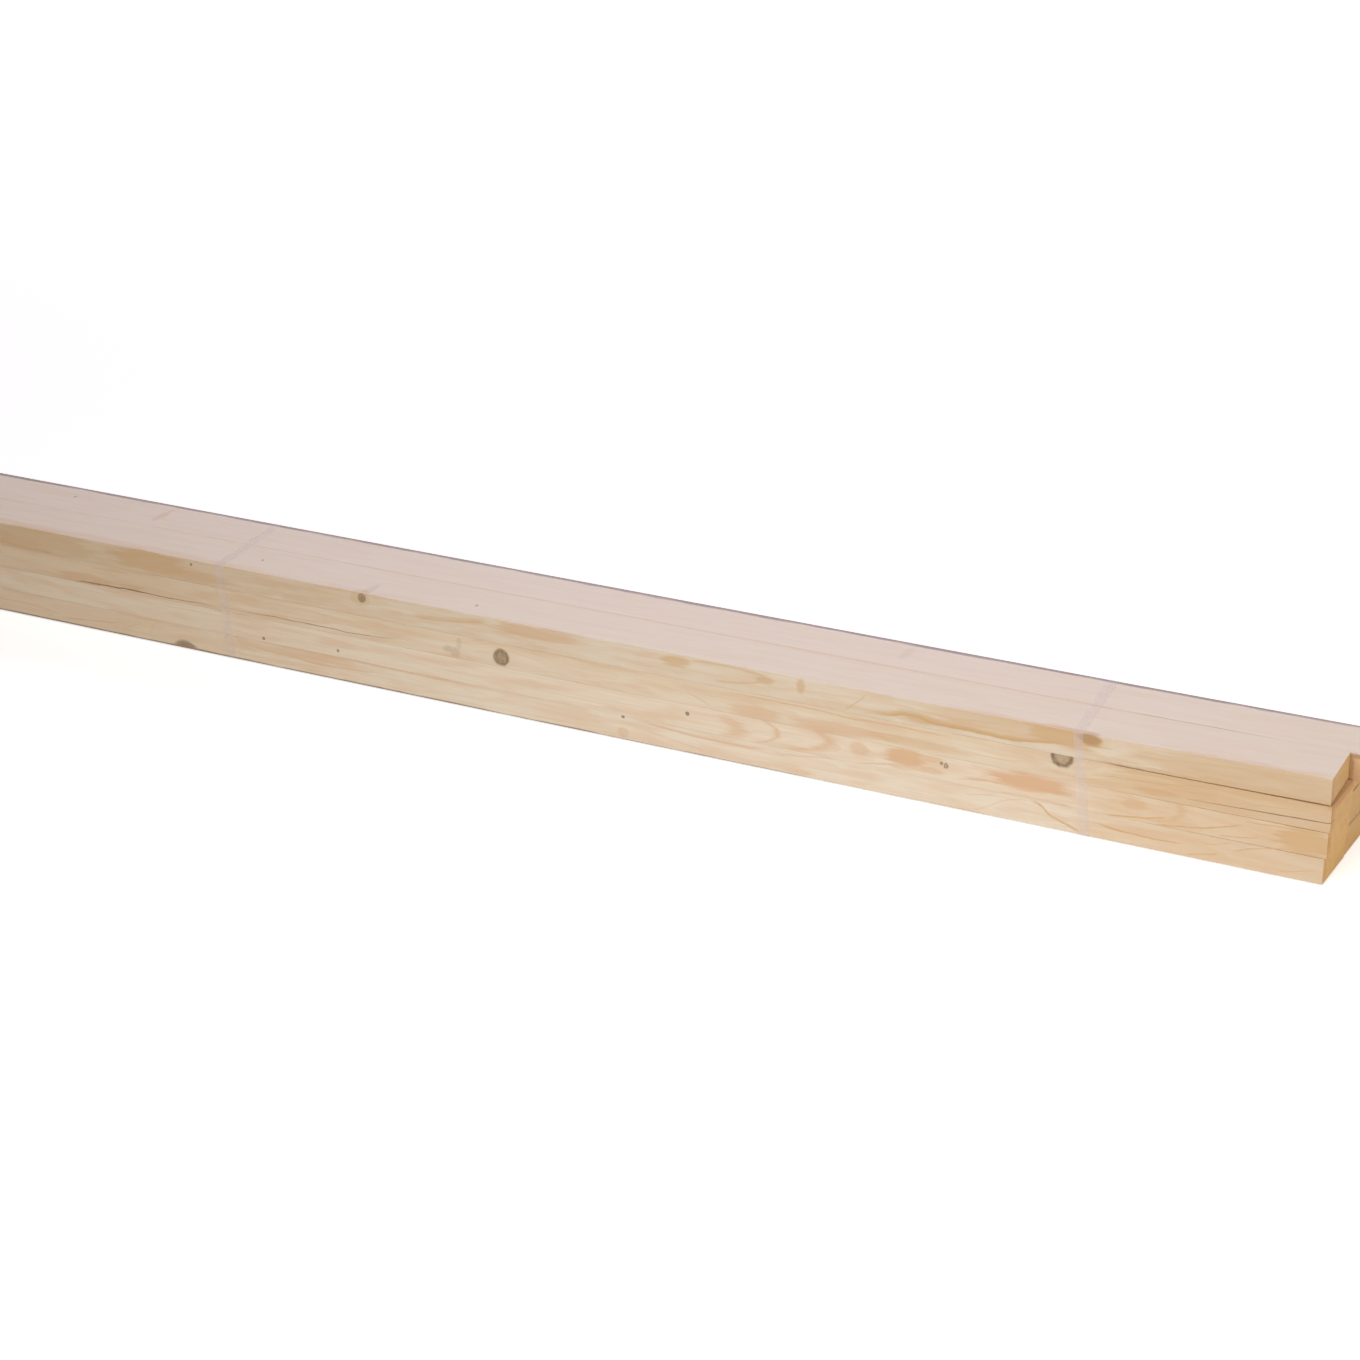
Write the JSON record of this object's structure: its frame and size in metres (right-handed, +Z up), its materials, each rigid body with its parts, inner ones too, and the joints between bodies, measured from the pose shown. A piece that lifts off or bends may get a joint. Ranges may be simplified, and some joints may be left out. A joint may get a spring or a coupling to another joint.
{
  "type": "strapped bundle of sawn softwood planks",
  "caption": "Bundle of pale sawn softwood planks, stacked in columns and layers with slightly uneven ends, bound round the stack by thin clear plastic straps.",
  "frame": {"origin": "on the floor, under the middle of the bundle's box", "axes": "+X along the planks towards the end that shows in the picture, +Y from the front column to the back one, +Z up"},
  "size_m": [1.809, 0.1024, 0.0791],
  "materials": {
    "sawn_wood": "fine sawn, unfinished softwood with knots",
    "clear_strap": "thin clear polypropylene band"
  },
  "bodies": {
    "root": {"plank_front_1": "sawn_wood", "plank_front_2": "sawn_wood", "plank_front_3": "sawn_wood", "plank_front_4": "sawn_wood", "plank_back_1": "sawn_wood", "plank_back_2": "sawn_wood", "plank_back_3": "sawn_wood", "plank_back_4": "sawn_wood", "strap_left": "clear_strap", "strap_middle": "clear_strap", "strap_right": "clear_strap"}
  },
  "joints": []
}
